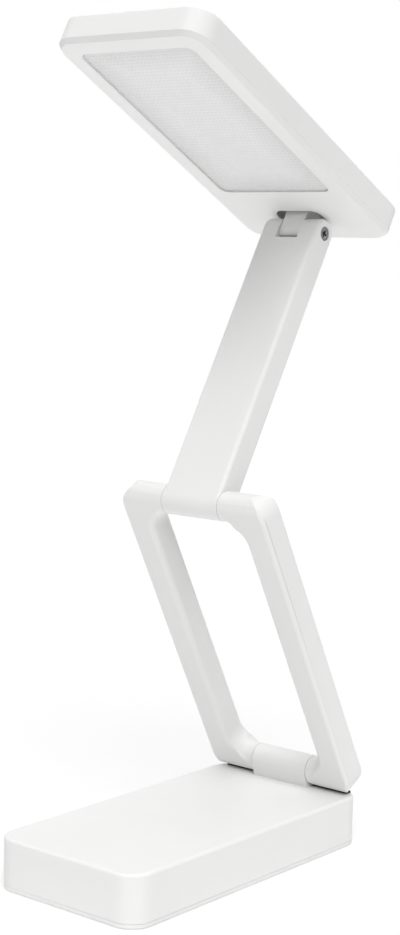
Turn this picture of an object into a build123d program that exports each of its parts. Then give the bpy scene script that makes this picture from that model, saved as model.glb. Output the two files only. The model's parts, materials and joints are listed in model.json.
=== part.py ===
from build123d import *
import math
import os

# Folding table lamp: a base slab, a two-legged lower frame, a flat upper arm and a flat light head.
# All lengths are in millimetres, all angles in degrees. X runs along the hinge axes to the right,
# Y runs to the back, Z runs up, and the origin is on the table under the middle of the base.

# Width that base, lower frame and light head share
lamp_width = 84.0

# Base slab
base_length = 166.0
base_height = 23.7
base_corner = 11.0
base_top_round = 1.5
base_wall = 2.0
base_roof = 2.2
plate_thickness = 2.0
plate_edge_bevel = 0.4
plate_lip_width = 1.2
plate_lip_height = 1.5
seam_gap = 0.12
snap_gap = 0.06
lip_clearance = 0.15

# Rubber pad that the lamp stands on
pad_width = 58.0
pad_length = 130.0
pad_corner = 8.0
pad_thickness = 1.3
pad_proud = 0.3
pad_clearance = 0.1

# Screws that hold the base plate, and the bosses they bite into
screw_inset = 8.5
boss_radius = 3.2
screw_radius = 1.25
screw_head_radius = 2.4
screw_length = 9.0
screw_clearance = 0.05
screw_hole_clearance = 0.15

# Black rubber strips let into the top of the base under the round ends of the frame
strip_inset = 5.0
strip_start_gap = 0.3
strip_front = 0.4
strip_back = 3.0
strip_sunk = 0.6
strip_clearance = 0.15
strip_seat_clearance = 0.05

# Ballast and battery inside the base
ballast_width = 62.0
ballast_length = 92.0
ballast_thickness = 4.0
ballast_corner = 3.0
ballast_y = -18.0
peg_radius = 2.0
peg_inset = 6.0
peg_proud = 0.6
peg_clearance = 0.1
battery_width = 44.0
battery_length = 60.0
battery_thickness = 9.0
battery_corner = 4.0

# Charge board with its socket and switch, behind the rear wall of the base
board_width = 54.0
board_length = 24.0
board_thickness = 1.2
board_height = 6.4
board_wall_gap = 0.6
board_post_radius = 2.2
board_post_inset = 4.0
socket_x = 12.0
socket_width = 7.6
socket_height = 2.7
socket_depth = 5.7
socket_skin = 0.35
socket_tongue_width = 4.0
socket_tongue_height = 0.6
socket_clearance = 0.3
switch_width = 6.0
switch_depth = 4.0
switch_plunger_radius = 1.6
switch_plunger_length = 1.6

# Power button in the rear wall
button_x = -12.0
button_radius = 3.2
button_flange_radius = 4.4
button_flange_thickness = 1.1
button_flange_gap = 0.4
button_proud = 1.0
button_travel = 0.8
button_clearance = 0.15
button_bevel = 0.4

# Lower frame: two legs, and the round ends about the two hinge axes that they carry
frame_length = 155.8
frame_lean = 28.0
leg_width = 14.4
bar_radius = 7.0
hinge_gap = 1.0
lower_axis_setback = 5.7
leg_edge_round = 2.0
frame_corner = 10.0
corner_overshoot = 0.2
leg_wall = 1.8
leg_cover_thickness = 2.0
leg_pocket_end = 15.0
window_corner = 9.0
window_round = 3.0
window_lift = 0.2
flare_width = 6.3
flare_rise = 4.0
pick_tolerance = 0.01
cover_rib_width = 1.0
cover_rib_depth = 2.0
cover_rib_clearance = 0.1

# Hinge shafts and flanged bushes
knuckle_width = 32.6
shaft_radius = 3.0
shaft_bore = 1.5
shaft_seat = 5.0
shaft_fit = 0.02
bush_wall = 1.0
bush_length = 8.0
bush_fit = 0.02
bush_running = 0.04
flange_radius = 6.0
flange_thickness = 0.25
flange_play = 0.05
lug_heel = 4.5
lug_toe = 5.0

# Upper arm
arm_length = 142.2
arm_lean = 29.65
arm_radius = 7.0
arm_edge_round = 2.0
arm_wall = 1.8
arm_side_wall = 3.3
arm_cavity_start = 13.0
arm_cavity_end = 18.9
back_cover_thickness = 1.6
back_cover_ledge = 1.2
back_cover_corner = 3.0
back_cover_clearance = 0.1
arm_screw_start = 28.0
arm_screw_end = 40.9
arm_screw_length = 7.0
arm_boss_radius = 2.8

# Head hinge: fork, lug, screw, nut and washers
fork_slot = 13.0
fork_clearance = 0.4
pivot_radius = 2.0
pivot_running = 0.05
pivot_head_radius = 3.1
pivot_head_height = 2.4
pivot_seat_depth = 2.8
pivot_seat_radius = 3.4
pivot_recess_length = 3.6
pivot_recess_width = 0.9
pivot_recess_depth = 1.2
nut_across_flats = 7.0
nut_height = 3.2
nut_sunk = 0.2
nut_clearance = 0.1
washer_radius = 3.4
washer_hole_clearance = 0.1
washer_thickness = 0.3
washer_play = 0.05
lug_inset = 1.3
lug_taper = 0.2
lug_drop = 3.4

# Light head
head_length = 170.8
head_overhang = 20.0
head_thickness = 13.6
head_lean = 28.6
head_gap = 1.1
head_corner = 11.0
head_top_round = 1.0
head_wall = 2.0
head_roof = 2.0
rim_bevel = 2.0
bezel_thickness = 2.0
bezel_rib_width = 1.2
bezel_rib_height = 2.0
pocket_length = 26.5
pocket_clearance = 1.6
pocket_corner = 5.5
pocket_depth = 4.0
pocket_wall = 1.6
pocket_slot_clearance = 0.4

# Diffuser, reflector and light board in the head
diffuser_width = 63.6
diffuser_length = 115.9
diffuser_start = 24.7
diffuser_corner = 4.0
diffuser_sunk = 0.9
diffuser_gap = 0.2
diffuser_flange_width = 2.2
diffuser_flange_thickness = 1.2
reflector_height = 5.0
reflector_foot = 1.2
reflector_top = 6.0
light_board_margin = 1.0
light_board_thickness = 1.2
chip_width = 2.8
chip_length = 3.5
chip_height = 0.7
chip_columns = 4
chip_rows = 8
chip_pitch_x = 12.0
chip_pitch_y = 12.5
standoff_radius = 2.5
standoff_inset = 6.0

# Bracket inside the head that carries the hinge lug
bracket_width = 30.0
bracket_front = 11.0
bracket_rear = 14.0
bracket_thickness = 3.0
bracket_corner = 2.0
bracket_screw_inset = 4.0
bracket_screw_length = 6.0

# Leads between the hinges
lead_radius = 0.9
lead_hole = 1.7
lead_gap = 2.5
arm_lead_x = -4.6

# Places that follow from the driving dimensions
plate_bottom = pad_proud
plate_top = plate_bottom + plate_thickness
base_top = plate_bottom + base_height
cavity_top = base_top - base_roof
rear_face = base_length / 2
rear_wall_inside = rear_face - base_wall
ballast_top = plate_top + ballast_thickness
board_bottom = plate_top + board_height
board_top = board_bottom + board_thickness
board_rear = rear_wall_inside - board_wall_gap
button_z = board_top + button_flange_radius
button_back = rear_wall_inside - button_flange_gap - button_flange_thickness
screw_places = [
    (side * (lamp_width / 2 - screw_inset), end * (base_length / 2 - screw_inset))
    for side in (-1, 1)
    for end in (-1, 1)
]
lower_axis_y = rear_face - lower_axis_setback
lower_axis_z = base_top + hinge_gap + bar_radius
upper_axis_y = lower_axis_y - frame_length * math.sin(math.radians(frame_lean))
upper_axis_z = lower_axis_z + frame_length * math.cos(math.radians(frame_lean))
head_axis_y = upper_axis_y + arm_length * math.sin(math.radians(arm_lean))
head_axis_z = upper_axis_z + arm_length * math.cos(math.radians(arm_lean))
frame_pose = Location((0, lower_axis_y, lower_axis_z), (frame_lean, 0, 0))
arm_pose = Location((0, upper_axis_y, upper_axis_z), (-arm_lean, 0, 0))
head_pose = Location((0, head_axis_y, head_axis_z), (-head_lean, 0, 0))
knuckle_half = knuckle_width / 2
leg_inner_end = knuckle_half + flange_thickness + flange_play
window_half = lamp_width / 2 - leg_width
shaft_half = window_half + shaft_seat
lead_x = shaft_half + lead_gap
bush_outer = shaft_radius + bush_running + bush_wall
fork_half = fork_slot / 2
lug_half = fork_half - washer_thickness - washer_play
lug_radius = arm_radius - lug_inset
lug_root_half = lug_radius - lug_taper
fork_depth = lug_radius + fork_clearance
pocket_width = 2 * (lug_radius + pocket_clearance)
head_middle = head_overhang - head_length / 2
head_underside = arm_radius + head_gap
bezel_top = head_underside + bezel_thickness
head_top = head_underside + head_thickness
head_roof_inside = head_top - head_roof
pocket_floor_top = head_underside + pocket_depth + pocket_wall
diffuser_middle = -(diffuser_start + diffuser_length / 2)
flange_top = bezel_top + diffuser_flange_thickness
light_board_bottom = flange_top + reflector_height
light_board_top = light_board_bottom + light_board_thickness
diffuser_flange_w = diffuser_width + 2 * diffuser_flange_width
diffuser_flange_l = diffuser_length + 2 * diffuser_flange_width


def block(x, y, z):
    """A box between pairs of limits."""
    middle = Pos((x[0] + x[1]) / 2, (y[0] + y[1]) / 2, (z[0] + z[1]) / 2)
    return middle * Box(x[1] - x[0], y[1] - y[0], z[1] - z[0])


def rod(radius, x, y=0.0, z=0.0):
    """A cylinder along X between two limits."""
    return Pos((x[0] + x[1]) / 2, y, z) * Rot(0, 90, 0) * Cylinder(radius, x[1] - x[0])


def post(radius, z, x=0.0, y=0.0):
    """A cylinder along Z between two limits."""
    return Pos(x, y, (z[0] + z[1]) / 2) * Cylinder(radius, z[1] - z[0])


def plunger(radius, y, x=0.0, z=0.0):
    """A cylinder along Y between two limits."""
    return Pos(x, (y[0] + y[1]) / 2, z) * Rot(90, 0, 0) * Cylinder(radius, y[1] - y[0])


def slab(width, length, corner, z, y=0.0):
    """A plate with rounded corners between two heights."""
    return Pos(0, y, z[0]) * extrude(RectangleRounded(width, length, corner), z[1] - z[0])


def panel(width, length, corner, y, z):
    """An upright plate with rounded corners between two Y limits and two heights."""
    outline = RectangleRounded(width, length, corner)
    return Pos(0, y[0], (z[0] + z[1]) / 2) * Rot(-90, 0, 0) * extrude(outline, y[1] - y[0])


def round_bar(x, length, radius):
    """A bar up Z from one X axis to another, with ends that are round about both axes."""
    profile = Pos(0, length / 2) * Rot(0, 0, 90) * SlotCenterToCenter(length, 2 * radius)
    return Pos(x[0], 0, 0) * extrude(Plane.YZ * profile, x[1] - x[0])


def countersunk(shank, head, length):
    """A cone that widens to the head's radius at Z = 0, over a shank down to minus its length."""
    cone_height = head - shank
    cone = Pos(0, 0, -cone_height / 2) * Cone(shank, head, cone_height)
    return cone + post(shank, (-length, -cone_height / 2))


def cross_recess(length, width, depth):
    """Two crossed slots sunk from Z = 0."""
    one = block((-length / 2, length / 2), (-width / 2, width / 2), (-depth, depth))
    return one + Rot(0, 0, 90) * one


def countersunk_screw(length):
    """A small countersunk screw, its flat head at Z = 0 and its shank below."""
    return countersunk(screw_radius, screw_head_radius, length)


def countersunk_hole(depth):
    """The hole that such a screw sits in, with its clearance."""
    return countersunk(
        screw_radius + screw_hole_clearance, screw_head_radius + screw_hole_clearance, depth
    )


def flanged_bushes():
    """Two sleeves pushed into the ends of a knuckle, with thin flanges against its end faces."""
    bushes = []
    for side in (-1, 1):
        inner = side * (knuckle_half - bush_length)
        face = side * knuckle_half
        outer = side * (knuckle_half + flange_thickness)
        sleeve = rod(bush_outer, sorted((inner, face)))
        sleeve += rod(flange_radius, sorted((face, outer)))
        sleeve -= rod(shaft_radius + bush_running, (-knuckle_width, knuckle_width))
        bushes.append(sleeve)
    return bushes


# Base


def make_base_housing():
    """The hollow upper half of the base, with the hinge lug standing on its rear edge."""
    housing = slab(lamp_width, base_length, base_corner, (plate_top + seam_gap, base_top))
    housing = fillet(housing.faces().sort_by(Axis.Z)[-1].edges(), base_top_round)
    inside = 2 * base_wall
    housing -= slab(
        lamp_width - inside, base_length - inside, base_corner - base_wall, (plate_bottom, cavity_top)
    )
    for x, y in screw_places:
        housing += post(boss_radius, (plate_top, cavity_top + base_roof / 2), x, y)
        housing -= post(screw_radius + screw_clearance, (plate_bottom, plate_top + screw_length), x, y)
    foot_bottom = base_top - base_roof / 2
    toe_y = lower_axis_y - lug_toe
    toe_turn = math.atan2(base_top - lower_axis_z, -lug_toe)
    toe_turn -= math.acos(bar_radius / math.hypot(base_top - lower_axis_z, lug_toe))
    lug_outline = Pos(lower_axis_y, lower_axis_z) * Circle(bar_radius)
    lug_outline += make_face(
        Polyline(
            (toe_y, foot_bottom),
            (toe_y, base_top),
            (
                lower_axis_y + bar_radius * math.cos(toe_turn),
                lower_axis_z + bar_radius * math.sin(toe_turn),
            ),
            (lower_axis_y, lower_axis_z),
            (lower_axis_y + lug_heel, foot_bottom),
            close=True,
        )
    )
    housing += Pos(-knuckle_half, 0, 0) * extrude(Plane.YZ * lug_outline, knuckle_width)
    housing -= rod(bush_outer + bush_fit, (-lamp_width, lamp_width), lower_axis_y, lower_axis_z)
    housing -= post(lead_hole, (cavity_top - base_roof, lower_axis_z), 0, lower_axis_y)
    for side in (-1, 1):
        housing -= knuckle_strip(side, strip_seat_clearance, lower_axis_z)
    socket_half = socket_width / 2 + socket_clearance
    housing -= block(
        (socket_x - socket_half, socket_x + socket_half),
        (rear_wall_inside - base_wall, rear_face + base_wall),
        (board_top - socket_clearance, board_top + socket_height + socket_clearance),
    )
    housing -= plunger(
        button_radius + button_clearance,
        (rear_wall_inside - base_wall, rear_face + base_wall),
        button_x,
        button_z,
    )
    return housing


def knuckle_strip(side, clearance, top):
    """The strip on one side of the lug up to a given height, grown all round by a clearance."""
    ends = sorted(
        (
            side * (knuckle_half + strip_start_gap - clearance),
            side * (lamp_width / 2 - strip_inset + clearance),
        )
    )
    return block(
        ends,
        (lower_axis_y - strip_front - clearance, lower_axis_y + strip_back + clearance),
        (base_top - strip_sunk, top),
    )


def make_knuckle_strips():
    """Strips that close the gap under the frame's round lower ends."""
    top = base_top + hinge_gap - strip_clearance
    return [knuckle_strip(side, 0, top) for side in (-1, 1)]


def make_base_plate():
    """The bottom cover: a plate with a locating lip, a seat for the pad, pegs and board posts."""
    plate = slab(lamp_width, base_length, base_corner, (plate_bottom, plate_top))
    plate = chamfer(plate.faces().sort_by(Axis.Z)[0].edges(), plate_edge_bevel)
    lip = 2 * (base_wall + lip_clearance)
    lip_corner = base_corner - base_wall - lip_clearance
    lip_z = (plate_top - plate_thickness / 2, plate_top + plate_lip_height)
    ring = slab(lamp_width - lip, base_length - lip, lip_corner, lip_z)
    ring -= slab(
        lamp_width - lip - 2 * plate_lip_width,
        base_length - lip - 2 * plate_lip_width,
        lip_corner - plate_lip_width,
        lip_z,
    )
    plate += ring
    for peg_y in peg_places():
        plate += post(peg_radius, (plate_top - plate_thickness / 2, ballast_top + peg_proud), 0, peg_y)
    for x, y in board_posts():
        plate += post(board_post_radius, (plate_top - plate_thickness / 2, board_bottom), x, y)
    seat = pad_thickness - pad_proud
    plate -= slab(
        pad_width + 2 * pad_clearance,
        pad_length + 2 * pad_clearance,
        pad_corner + pad_clearance,
        (plate_bottom - plate_thickness, plate_bottom + seat),
    )
    for x, y in screw_places:
        plate -= Pos(x, y, plate_bottom) * Rot(180, 0, 0) * countersunk_hole(2 * plate_thickness)
    return plate


def peg_places():
    """Places along Y of the two pegs near the ends of the ballast."""
    reach = ballast_length / 2 - peg_inset
    return (ballast_y - reach, ballast_y + reach)


def board_posts():
    """Places of the posts under the charge board."""
    half = board_width / 2 - board_post_inset
    front = board_rear - board_length + board_post_inset
    back = board_rear - board_post_inset
    return [(x, y) for x in (-half, half) for y in (front, back)]


def make_plate_screws():
    """Four screws driven up through the corners of the base plate."""
    screw = Rot(180, 0, 0) * countersunk_screw(screw_length)
    return [Pos(x, y, plate_bottom) * screw for x, y in screw_places]


def make_rest_pad():
    """The rubber pad under the base."""
    return slab(pad_width, pad_length, pad_corner, (0, pad_thickness))


def make_ballast_plate():
    """The steel plate that keeps the lamp from tipping, held by the two pegs."""
    ballast = slab(ballast_width, ballast_length, ballast_corner, (plate_top, ballast_top), ballast_y)
    for peg_y in peg_places():
        ballast -= post(peg_radius + peg_clearance, (plate_bottom, base_top), 0, peg_y)
    return ballast


def make_battery_pack():
    """The flat rechargeable cell, bonded on the ballast."""
    top = ballast_top + battery_thickness
    return slab(battery_width, battery_length, battery_corner, (ballast_top, top), ballast_y)


def make_charge_board():
    """The circuit board on its four posts behind the rear wall."""
    return block(
        (-board_width / 2, board_width / 2),
        (board_rear - board_length, board_rear),
        (board_bottom, board_top),
    )


def make_charge_socket():
    """The charging socket: a thin metal shell with a contact tongue, its mouth in the rear wall."""
    mouth = (rear_face - socket_depth, rear_face)
    half = socket_width / 2
    top = board_top + socket_height
    shell = block((socket_x - half, socket_x + half), mouth, (board_top, top))
    shell -= block(
        (socket_x - half + socket_skin, socket_x + half - socket_skin),
        (mouth[0] + 2 * socket_skin, mouth[1] + socket_skin),
        (board_top + socket_skin, top - socket_skin),
    )
    middle = board_top + socket_height / 2
    shell += block(
        (socket_x - socket_tongue_width / 2, socket_x + socket_tongue_width / 2),
        (mouth[0] + socket_skin, mouth[1] - socket_depth / 4),
        (middle - socket_tongue_height / 2, middle + socket_tongue_height / 2),
    )
    return shell


def make_power_switch():
    """The push switch on the board, its plunger behind the button."""
    front = button_back - button_travel - switch_plunger_length - 2 * button_clearance
    body = block(
        (button_x - switch_width / 2, button_x + switch_width / 2),
        (front - switch_depth, front),
        (board_top, button_z + switch_width / 2),
    )
    return body + plunger(
        switch_plunger_radius, (front - switch_depth / 2, front + switch_plunger_length), button_x, button_z
    )


def make_power_button():
    """The round button, kept in the rear wall by the flange on its inner end."""
    cap = plunger(button_radius, (button_back, rear_face + button_proud), button_x, button_z)
    cap = chamfer(cap.faces().sort_by(Axis.Y)[-1].edges(), button_bevel)
    return cap + plunger(
        button_flange_radius,
        (button_back, button_back + button_flange_thickness),
        button_x,
        button_z,
    )


def make_base_lead():
    """The lead from the charge board straight up into the hinge lug."""
    return post(lead_radius, (board_top, lower_axis_z - shaft_radius - lead_radius), 0, lower_axis_y)


def make_lower_hinge_bushes():
    """Bushes in the base lug that the lower shaft turns in."""
    return [Pos(0, lower_axis_y, lower_axis_z) * bush for bush in flanged_bushes()]


# Lower frame, modelled upright with the lower hinge axis along X


def make_leg_blank():
    """The whole right leg before it is split into a body and a cover."""
    half = lamp_width / 2
    blank = round_bar((leg_inner_end, lamp_width), frame_length, bar_radius)
    outer_end = bar_radius + corner_overshoot
    outer_z = (-outer_end, frame_length + outer_end)
    outline = panel(lamp_width, outer_z[1] - outer_z[0], frame_corner, (-bar_radius, bar_radius), outer_z)
    broad_faces = outline.faces().sort_by(Axis.Y)
    blank &= fillet(broad_faces[0].edges() + broad_faces[-1].edges(), leg_edge_round)
    floor = bar_radius + window_lift
    window_z = (floor, frame_length - floor)
    blank -= panel(2 * window_half, window_z[1] - window_z[0], window_corner, (-half, half), window_z)

    def on_window(edge):
        box = edge.bounding_box()
        flat = abs(abs(edge.position_at(0.5).Y) - bar_radius) < pick_tolerance
        within = box.min.Z > window_z[0] - pick_tolerance and box.max.Z < window_z[1] + pick_tolerance
        return flat and within and box.max.X < window_half + pick_tolerance

    blank = fillet(blank.edges().filter_by(on_window), window_round)
    trim = stub_trim()
    return blank - trim - Pos(0, 0, frame_length) * mirror(trim, about=Plane.XY)


def stub_trim():
    """What is cut from the square inner end of a leg, to leave a round bar that flares into the leg."""
    start = window_half - window_corner
    end = start + flare_width
    top = bar_radius + flare_rise
    bend = TangentArc((start, bar_radius), (end, top), tangent=(1, 0))
    straight = Polyline((start, bar_radius), (0, bar_radius), (0, 0), (end, 0), (end, top))
    flare = revolve(Plane.XZ * make_face(straight + bend), Axis.X)
    return block((0, end), (-lamp_width / 2, lamp_width / 2), (0, top)) - flare


def leg_pocket(inset, y):
    """The hollow inside a leg between two Y limits, drawn in by an inset."""
    return block(
        (window_half + leg_wall + inset, lamp_width / 2 - leg_wall - inset),
        y,
        (leg_pocket_end + inset, frame_length - leg_pocket_end - inset),
    )


def make_right_leg():
    """The deep rear body of the right leg and the thin cover that snaps on its front."""
    blank = make_leg_blank()
    split = leg_cover_thickness - bar_radius
    whole = (-lamp_width, lamp_width)
    tall = (-frame_length, 2 * frame_length)
    body = blank & block(whole, (split, bar_radius), tall)
    body -= leg_pocket(0, (split, bar_radius - leg_wall))
    for axis_z, inward in ((0, 1), (frame_length, -1)):
        body -= rod(shaft_radius + shaft_fit, (0, shaft_half), 0, axis_z)
        body -= rod(lead_hole, (0, lead_x + lead_hole), 0, axis_z)
        channel = sorted((axis_z, axis_z + inward * (leg_pocket_end + leg_wall)))
        body -= post(lead_hole, channel, lead_x)
    cover = blank & block(whole, (-bar_radius, split - snap_gap), tall)
    rib_y = (split - snap_gap, split + cover_rib_depth)
    rib = leg_pocket(cover_rib_clearance, rib_y)
    rib -= leg_pocket(cover_rib_clearance + cover_rib_width, rib_y)
    return body, cover + rib


def hinge_shaft(axis_z):
    """A steel tube across the frame, gripped by both legs."""
    ends = (-shaft_half, shaft_half)
    return rod(shaft_radius, ends, 0, axis_z) - rod(shaft_bore, ends, 0, axis_z)


def make_leg_lead():
    """The lead that runs up the right leg, from beside the lower shaft's end to the upper one."""
    return post(lead_radius, (0, frame_length), lead_x)


# Upper arm, modelled upright with the upper hinge axis along X


def arm_screw_heights():
    """Heights of the two screws in the back cover."""
    return (arm_screw_start, arm_length - arm_screw_end)


def make_arm_shell():
    """The moulded arm: square-ended knuckle, hollow flat bar open at the back, forked upper end."""
    shell = round_bar((-knuckle_half, knuckle_half), arm_length, arm_radius)
    for end in (0, -1):
        shell = fillet(shell.faces().sort_by(Axis.X)[end].edges(), arm_edge_round)
    shell += rod(arm_radius, (-knuckle_half, knuckle_half))
    cavity_half = knuckle_half - arm_side_wall
    cavity_z = (arm_cavity_start, arm_length - arm_cavity_end)
    front = -arm_radius + arm_wall
    shell -= block((-cavity_half, cavity_half), (front, arm_radius), cavity_z)
    shell -= panel(
        2 * (cavity_half + back_cover_ledge),
        cavity_z[1] - cavity_z[0] + 2 * back_cover_ledge,
        back_cover_corner,
        (arm_radius - back_cover_thickness, 2 * arm_radius),
        cavity_z,
    )
    for height in arm_screw_heights():
        boss_y = (front - arm_wall / 2, arm_radius - back_cover_thickness)
        shell += plunger(arm_boss_radius, boss_y, 0, height)
        shell -= plunger(
            screw_radius + screw_clearance, (arm_radius - arm_screw_length, arm_radius), 0, height
        )
    shell -= block(
        (-fork_half, fork_half),
        (-2 * arm_radius, 2 * arm_radius),
        (arm_length - fork_depth, arm_length + 2 * arm_radius),
    )
    shell -= rod(bush_outer + bush_fit, (-knuckle_width, knuckle_width))
    shell -= post(lead_hole, (0, arm_length - fork_depth), arm_lead_x)
    shell -= rod(pivot_radius + pivot_running, (-knuckle_width, knuckle_width), 0, arm_length)
    shell -= rod(pivot_seat_radius, (knuckle_half - pivot_seat_depth, knuckle_width), 0, arm_length)
    return shell - nut_prism(nut_clearance, nut_height + nut_sunk)


def nut_prism(clearance, depth):
    """A hexagonal prism sunk along X into the left ear."""
    corner = (nut_across_flats / 2 + clearance) / math.cos(math.pi / 6)
    hexagon = Pos(0, arm_length) * RegularPolygon(corner, 6)
    return Pos(-knuckle_half, 0, 0) * extrude(Plane.YZ * hexagon, depth)


def make_arm_back_cover():
    """The flat cover let into the back of the arm."""
    ledge = back_cover_ledge - back_cover_clearance
    cavity_half = knuckle_half - arm_side_wall
    cavity_z = (arm_cavity_start - ledge, arm_length - arm_cavity_end + ledge)
    cover = panel(
        2 * (cavity_half + ledge),
        cavity_z[1] - cavity_z[0],
        back_cover_corner - back_cover_clearance,
        (arm_radius - back_cover_thickness, arm_radius),
        cavity_z,
    )
    for height in arm_screw_heights():
        cover -= Pos(0, arm_radius, height) * Rot(-90, 0, 0) * countersunk_hole(2 * back_cover_thickness)
    return cover


def make_arm_cover_screws():
    """Two screws that hold the back cover."""
    screw = Rot(-90, 0, 0) * countersunk_screw(arm_screw_length)
    return [Pos(0, arm_radius, height) * screw for height in arm_screw_heights()]


def make_arm_lead():
    """The lead that runs up inside the arm, past the screw bosses, from the knuckle to the fork."""
    return post(lead_radius, (bush_outer, arm_length - fork_depth - lead_radius), arm_lead_x)


def make_head_pivot_screw():
    """The screw that the head turns on, its round head sunk in the right ear."""
    seat = knuckle_half - pivot_seat_depth
    tip = nut_sunk - knuckle_half
    screw = rod(pivot_radius, (tip, seat), 0, arm_length)
    screw += rod(pivot_head_radius, (seat, seat + pivot_head_height), 0, arm_length)
    recess = cross_recess(pivot_recess_length, pivot_recess_width, pivot_recess_depth)
    return screw - Pos(seat + pivot_head_height, 0, arm_length) * Rot(0, 90, 0) * recess


def make_head_pivot_nut():
    """The nut sunk in the left ear."""
    nut = Pos(nut_sunk, 0, 0) * nut_prism(0, nut_height)
    return nut - rod(pivot_radius + shaft_fit, (-knuckle_width, 0), 0, arm_length)


def make_head_pivot_washers():
    """Friction washers in the fork, one on each side of the lug."""
    washers = []
    for side in (-1, 1):
        ends = sorted((side * (fork_half - washer_thickness), side * fork_half))
        ring = rod(washer_radius, ends, 0, arm_length)
        washers.append(ring - rod(pivot_radius + washer_hole_clearance, ends, 0, arm_length))
    return washers


# Light head, modelled level with its hinge axis along X and its free end towards the front


def head_slab(inset, corner, z):
    """The head's rounded outline drawn in by an inset, between two heights."""
    return slab(lamp_width - 2 * inset, head_length - 2 * inset, corner, z, head_middle)


def diffuser_slab(margin, corner, z):
    """The diffuser's outline grown by a margin, between two heights."""
    return slab(diffuser_width + 2 * margin, diffuser_length + 2 * margin, corner, z, diffuser_middle)


def bracket_screw_places():
    """Places of the screws that hold the bracket to the top shell, one on each side of the lug."""
    half = bracket_width / 2 - bracket_screw_inset
    middle = (bracket_rear - bracket_front) / 2
    return [(-half, middle), (half, middle)]


def standoff_places():
    """Places of the posts that the light board rests against."""
    half_x = diffuser_width / 2 - standoff_inset
    half_y = diffuser_length / 2 - standoff_inset
    return [(x, diffuser_middle + y) for x in (-half_x, half_x) for y in (-half_y, half_y)]


def make_head_shell():
    """The top cover of the head, hollow from below, with posts for the board and the bracket."""
    shell = head_slab(0, head_corner, (bezel_top + snap_gap, head_top))
    shell = fillet(shell.faces().sort_by(Axis.Z)[-1].edges(), head_top_round)
    shell -= head_slab(head_wall, head_corner - head_wall, (bezel_top, head_roof_inside))
    roof = head_roof_inside + head_roof / 2
    for x, y in standoff_places():
        shell += post(standoff_radius, (light_board_top, roof), x, y)
    for x, y in bracket_screw_places():
        shell += post(boss_radius, (bracket_top(), roof), x, y)
        pilot_z = (bezel_top, bracket_bottom() + bracket_screw_length)
        shell -= post(screw_radius + screw_clearance, pilot_z, x, y)
    return shell


def bracket_bottom():
    """Underside of the bracket, on the floor of the bezel's hinge pocket."""
    return pocket_floor_top


def bracket_top():
    """Upper face of the bracket."""
    return bracket_bottom() + bracket_thickness


def make_head_bezel():
    """The bevelled underside: window for the diffuser, hinge pocket and locating rib."""
    bezel = head_slab(0, head_corner, (head_underside, bezel_top))
    bevel = min(rim_bevel, bezel_thickness) - snap_gap
    bezel = chamfer(bezel.faces().sort_by(Axis.Z)[0].edges(), bevel)
    inset = head_wall + lip_clearance
    rib_z = (bezel_top - bezel_thickness / 2, bezel_top + bezel_rib_height)
    rib = head_slab(inset, head_corner - inset, rib_z)
    rib -= head_slab(inset + bezel_rib_width, head_corner - inset - bezel_rib_width, rib_z)
    bezel += rib
    bezel += slab(
        pocket_length + 2 * pocket_wall,
        pocket_width + 2 * pocket_wall,
        pocket_corner + pocket_wall,
        (bezel_top - bezel_thickness / 2, pocket_floor_top),
    )
    bezel -= slab(
        pocket_length, pocket_width, pocket_corner, (0, head_underside + pocket_depth)
    )
    bezel -= block(
        (-lug_half - pocket_slot_clearance, lug_half + pocket_slot_clearance),
        (-lug_root_half - pocket_slot_clearance, lug_root_half + pocket_slot_clearance),
        (0, head_top),
    )
    return bezel - diffuser_slab(diffuser_gap, diffuser_corner + diffuser_gap, (0, head_top))


def make_diffuser():
    """The light panel's window: a plate through the bezel with a flange that rests inside it."""
    face = diffuser_slab(0, diffuser_corner, (head_underside + diffuser_sunk, flange_top))
    return face + diffuser_slab(
        diffuser_flange_width, diffuser_corner + diffuser_flange_width, (bezel_top, flange_top)
    )


def make_reflector():
    """The white frame between diffuser and light board, its walls sloping in towards the board."""
    frame_z = (flange_top, light_board_bottom)
    ring = diffuser_slab(diffuser_flange_width, diffuser_corner, frame_z)
    sections = []
    for wall, height in ((reflector_foot, flange_top), (reflector_top, light_board_bottom)):
        outline = RectangleRounded(
            diffuser_flange_w - 2 * wall, diffuser_flange_l - 2 * wall, diffuser_corner
        )
        sections.append(Pos(0, diffuser_middle, height) * outline)
    return ring - loft(sections, ruled=True)


def make_light_board():
    """The board that carries the light chips, between the reflector and the posts of the shell."""
    margin = diffuser_flange_width - light_board_margin
    return diffuser_slab(margin, diffuser_corner, (light_board_bottom, light_board_top))


def make_light_chips():
    """Rows of small light chips under the board."""
    chips = []
    for column in range(chip_columns):
        x = (column - (chip_columns - 1) / 2) * chip_pitch_x
        for row in range(chip_rows):
            y = diffuser_middle + (row - (chip_rows - 1) / 2) * chip_pitch_y
            chips.append(
                block(
                    (x - chip_width / 2, x + chip_width / 2),
                    (y - chip_length / 2, y + chip_length / 2),
                    (light_board_bottom - chip_height, light_board_bottom),
                )
            )
    return chips


def make_head_bracket():
    """The moulded bracket screwed in the head, with the lug that goes down into the arm's fork."""
    plate_middle = (bracket_rear - bracket_front) / 2
    plate = slab(
        bracket_width,
        bracket_front + bracket_rear,
        bracket_corner,
        (bracket_bottom(), bracket_top()),
        plate_middle,
    )
    root = bracket_bottom() + bracket_thickness / 2
    outline = Circle(lug_radius) + make_face(
        Polyline(
            (-lug_radius, 0),
            (-lug_root_half, head_underside),
            (-lug_root_half, root),
            (lug_root_half, root),
            (lug_root_half, head_underside),
            (lug_radius, 0),
            close=True,
        )
    )
    outline -= Pos(0, -lug_drop - lug_radius) * Rectangle(2 * lamp_width, 2 * lug_radius)
    bracket = plate + Pos(-lug_half, 0, 0) * extrude(Plane.YZ * outline, 2 * lug_half)
    bracket -= rod(pivot_radius + pivot_running, (-knuckle_half, knuckle_half))
    for x, y in bracket_screw_places():
        hole = Pos(x, y, bracket_bottom()) * Rot(180, 0, 0)
        bracket -= hole * countersunk_hole(2 * bracket_thickness)
    return bracket


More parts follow.
